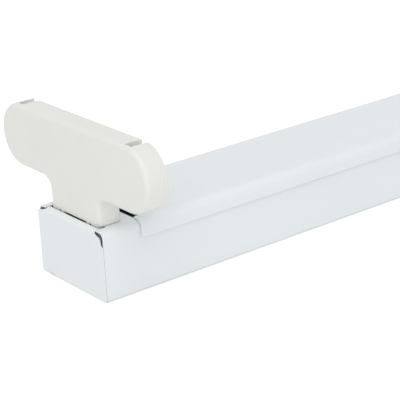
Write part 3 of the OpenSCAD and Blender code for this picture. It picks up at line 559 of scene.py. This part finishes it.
# Screw retainer
# A star washer of spring steel pushed up the screw's shank under the cover: a dished ring with inner teeth.
low, high = (np.array(corner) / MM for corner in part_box("screw_retainer"))
TEETH, TOOTH_TIP, TOOTH_ROOT, SPRING = 8, 2.15, 3.0, 0.35
turn, share = np.meshgrid(np.linspace(0, -2 * np.pi, 24 * TEETH + 1), np.linspace(0, 1, 7))
tooth = TOOTH_TIP + (TOOTH_ROOT - TOOTH_TIP) * np.clip(0.5 + 2.5 * np.cos(TEETH * turn), 0, 1)
reach = high[0] + share * (tooth - high[0])
dish = high[2] - (high[2] - low[2] - SPRING) * (1 - share) ** 2
star = np.stack([reach * np.cos(turn), reach * np.sin(turn), dish], axis=-1).reshape(-1, 3)
points, faces = joined((star, quads(7, 24 * TEETH + 1)))
retainer = stand_in(surface("retainer", points, faces), screw_steel, "screw_retainer")
sheet_metal(retainer, SPRING, 0.06)

# Cover screw
# A zinc-bright machine screw: a pan head with a pressed cross recess, over a rolled M4 thread.
low, high = (np.array(corner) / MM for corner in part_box("cover_screw"))
HEAD_R, HEAD_H, HEAD_EDGE, HEAD_ROUND = high[0], 2.4, 1.0, 0.2
SHANK_R, TIP_R, PITCH, THREAD_DEPTH = 2.0, 1.3, 0.7, 0.3
HEAD_Z = high[2] - HEAD_H
ARM, ARM_HALF, RECESS, RECESS_TAPER = 2.4, 0.45, 1.4, 0.92
dome = (HEAD_R ** 2 + (high[2] - HEAD_Z - HEAD_EDGE) ** 2) / (2 * (high[2] - HEAD_Z - HEAD_EDGE))
arm = np.array([(ARM, -ARM_HALF), (ARM, -0.15), (ARM, 0.15), (ARM, ARM_HALF),
                (1.7, ARM_HALF), (1.1, ARM_HALF), (0.75, ARM_HALF), (ARM_HALF, ARM_HALF),
                (ARM_HALF, 0.75), (ARM_HALF, 1.1), (ARM_HALF, 1.7)])
cross = np.concatenate([arm @ np.array([[math.cos(a), math.sin(a)], [-math.sin(a), math.cos(a)]])
                        for a in np.radians([0, 90, 180, 270])])
cross = np.concatenate([cross, cross[:1]])
angle = np.unwrap(np.arctan2(cross[:, 1], cross[:, 0]))
circle = np.stack([np.cos(angle), np.sin(angle)], axis=1)


def flat_ring(radius, height):
    """One round row of the screw: a radius, or one for each column, at a height."""
    return np.column_stack([circle * np.reshape(radius, (-1, 1)), np.full(len(circle), height)])


rows = [flat_ring(TIP_R, low[2])]
for height in np.arange(low[2] + 0.25, HEAD_Z - 0.05, PITCH / 8):
    phase = (height / PITCH - angle / (2 * np.pi)) % 1
    crest = SHANK_R - THREAD_DEPTH * np.abs(2 * phase - 1)
    rows.append(flat_ring(np.minimum(crest, TIP_R + 1.4 * (height - low[2])), height))
rows += [flat_ring(SHANK_R - 0.1, HEAD_Z), flat_ring(HEAD_R - 0.25, HEAD_Z),
         flat_ring(HEAD_R, HEAD_Z + HEAD_ROUND), flat_ring(HEAD_R, HEAD_Z + HEAD_EDGE - HEAD_ROUND)]
for share in np.linspace(0.03, 1, 9):
    flat = circle * HEAD_R * (1 - share) + cross * share
    rows.append(np.column_stack([flat, high[2] - dome + np.sqrt(dome ** 2 - (flat ** 2).sum(axis=1))]))
rows.append(np.column_stack([cross * RECESS_TAPER, np.full(len(cross), high[2] - RECESS)]))
points, faces = joined((np.concatenate(rows), quads(len(rows), len(circle))))
screw_mesh = surface("screw", points, faces)
work = bmesh.new()
work.from_mesh(screw_mesh)
bmesh.ops.holes_fill(work, edges=work.edges)
bmesh.ops.recalc_face_normals(work, faces=work.faces)
work.to_mesh(screw_mesh)
work.free()
screw = stand_in(screw_mesh, screw_steel, "cover_screw")
rounding(screw, 0.06, 2, 40)

# Floor
# A plain pale table top just under the batten. The camera sees it as white and it still takes the shadow.
floor_mesh = bpy.data.meshes.new("floor")
FLOOR, FLOOR_Z = 4, -0.0002
corners = [(x * FLOOR, y * FLOOR, FLOOR_Z) for x, y in ((-1, -1), (1, -1), (1, 1), (-1, 1))]
floor_mesh.from_pydata(corners, [], [(0, 1, 2, 3)])
floor = bpy.data.objects.new("floor", floor_mesh)
bpy.context.collection.objects.link(floor)
table_top = bpy.data.materials.new("pale table top")
table_top.use_nodes = True
tree = table_top.node_tree
matt = tree.nodes["Principled BSDF"]
matt.inputs["Base Color"].default_value = (0.86, 0.86, 0.86, 1)
matt.inputs["Roughness"].default_value = 0.9
ray = node(tree, "ShaderNodeLightPath")
seen = node(tree, "ShaderNodeMath", operation="MAXIMUM")
lift = node(tree, "ShaderNodeMapRange", **{"To Min": 0.10, "To Max": 0.30})
tree.links.new(ray.outputs["Is Camera Ray"], seen.inputs[0])
tree.links.new(ray.outputs["Is Glossy Ray"], seen.inputs[1])
tree.links.new(seen.outputs[0], lift.inputs["Value"])
matt.inputs["Emission Color"].default_value = (1, 1, 1, 1)
tree.links.new(lift.outputs[0], matt.inputs["Emission Strength"])
floor.data.materials.append(table_top)

# Studio light
# A white room that lights from all round, one large soft lamp above, and a fill beside the camera.
world = bpy.data.worlds.new("studio")
bpy.context.scene.world = world
world.use_nodes = True
tree = world.node_tree
room = tree.nodes["Background"]
room.inputs["Color"].default_value = (1, 1, 1, 1)
ray = node(tree, "ShaderNodeLightPath")
seen = node(tree, "ShaderNodeMath", operation="MAXIMUM")
through = node(tree, "ShaderNodeMath", operation="MAXIMUM")
level = node(tree, "ShaderNodeMapRange", **{"To Min": 0.74, "To Max": 1.0})
tree.links.new(ray.outputs["Is Camera Ray"], seen.inputs[0])
tree.links.new(ray.outputs["Is Glossy Ray"], seen.inputs[1])
tree.links.new(seen.outputs[0], through.inputs[0])
tree.links.new(ray.outputs["Is Transmission Ray"], through.inputs[1])
tree.links.new(through.outputs[0], level.inputs["Value"])
tree.links.new(level.outputs[0], room.inputs["Strength"])


def soft_lamp(name, place, target, size, power):
    """A square area lamp at a place in metres, facing its target."""
    data = bpy.data.lights.new(name, "AREA")
    data.shape = "SQUARE"
    data.size = size
    data.energy = power
    lamp = bpy.data.objects.new(name, data)
    aim = (Vector(target) - Vector(place)).to_track_quat("-Z", "Y")
    lamp.matrix_world = Matrix.Translation(place) @ aim.to_matrix().to_4x4()
    bpy.context.collection.objects.link(lamp)


soft_lamp("window", (-0.8, -0.7, 1.9), (-0.2, 0, 0.03), 1.2, 9.0)
soft_lamp("fill", (-1.25, -1.3, 1.14), (-0.1, 0, 0.03), 1.2, 7.0)

# Camera
# At the photograph's viewing angle, worked out from the channel's edges in its 400 x 400 frame.
azimuth, elevation, roll = (math.radians(v) for v in (-37.216, 20.985, -2.867))
FRAME, SENSOR = 400, 36
FOCAL = 1504.693
CORNER_AT = (106.268, 304.135)
CORNER_DEPTH = 0.69797
corner = Vector((-HALF_L, -HALF_W, 0)) * MM
level_back = Vector((math.sin(azimuth), -math.cos(azimuth), 0))
back = level_back * math.cos(elevation) + Vector((0, 0, math.sin(elevation)))
right = (-back).cross(Vector((0, 0, 1))).normalized()
up = back.cross(right)
right, up = right * math.cos(roll) + up * math.sin(roll), up * math.cos(roll) - right * math.sin(roll)
across = (CORNER_AT[0] - FRAME / 2) / FOCAL * CORNER_DEPTH
down = (CORNER_AT[1] - FRAME / 2) / FOCAL * CORNER_DEPTH
eye = corner - right * across + up * down + back * CORNER_DEPTH
lens = bpy.data.cameras.new("photo view")
lens.sensor_width = SENSOR
lens.lens = FOCAL / FRAME * SENSOR
camera = bpy.data.objects.new("photo view", lens)
camera.matrix_world = Matrix.Translation(eye) @ Matrix((right, up, back)).transposed().to_4x4()
bpy.context.collection.objects.link(camera)
bpy.context.scene.camera = camera
bpy.context.scene.view_settings.view_transform = "Standard"
